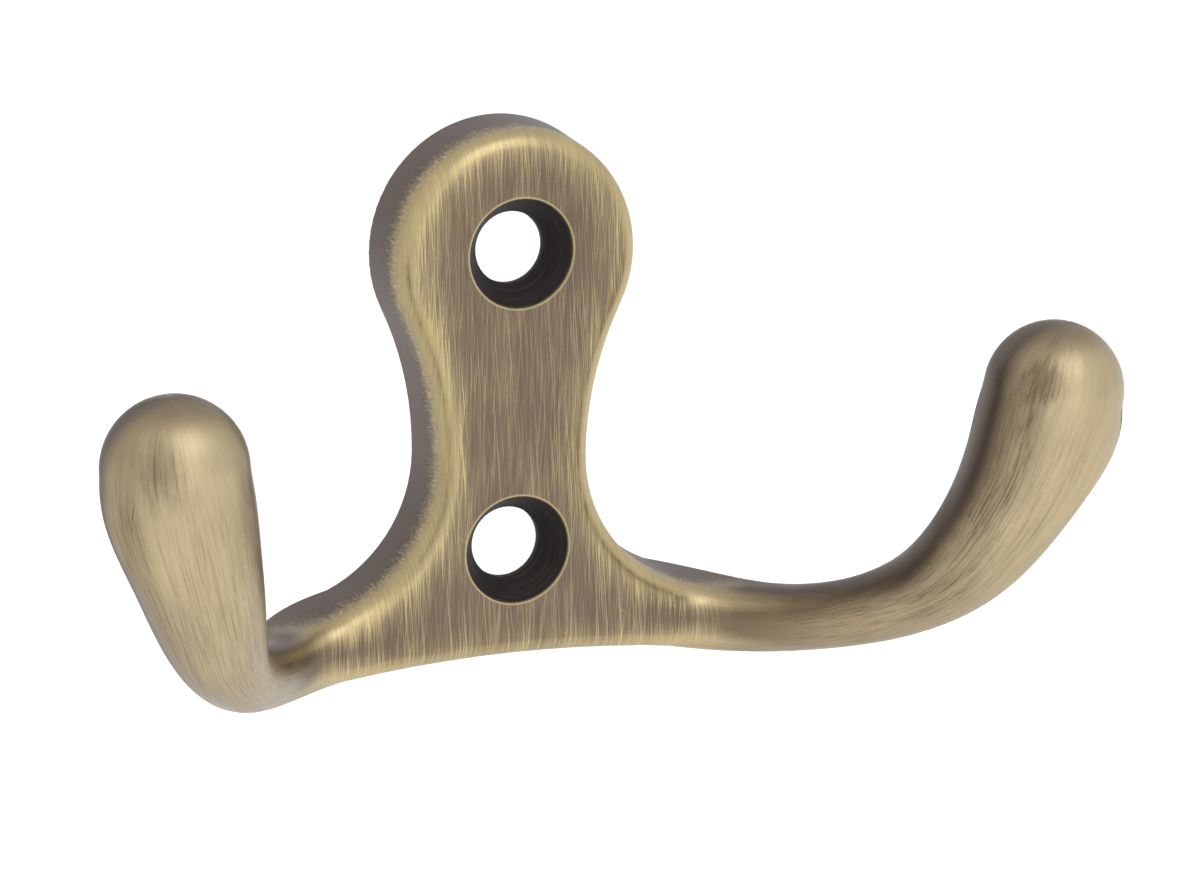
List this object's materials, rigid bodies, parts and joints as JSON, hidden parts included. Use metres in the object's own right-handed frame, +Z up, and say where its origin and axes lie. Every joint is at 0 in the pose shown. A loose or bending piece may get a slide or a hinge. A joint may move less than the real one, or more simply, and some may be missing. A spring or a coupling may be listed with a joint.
{
  "type": "wall hook",
  "caption": "Cast wall hook: a keyhole-shaped back plate with countersunk screw holes, and upturned arms with thick rounded ends that hold coats and robes.",
  "frame": {"origin": "on the wall plane, midway between the two screw holes", "axes": "+X to the right along the wall, +Y into the wall, +Z up"},
  "size_m": [0.0688, 0.0278, 0.0371],
  "materials": {
    "antique_brass": "brushed antique brass plating, darkened in the recesses, worn bright on the edges"
  },
  "bodies": {
    "root": {"hook": "antique_brass"}
  },
  "joints": []
}
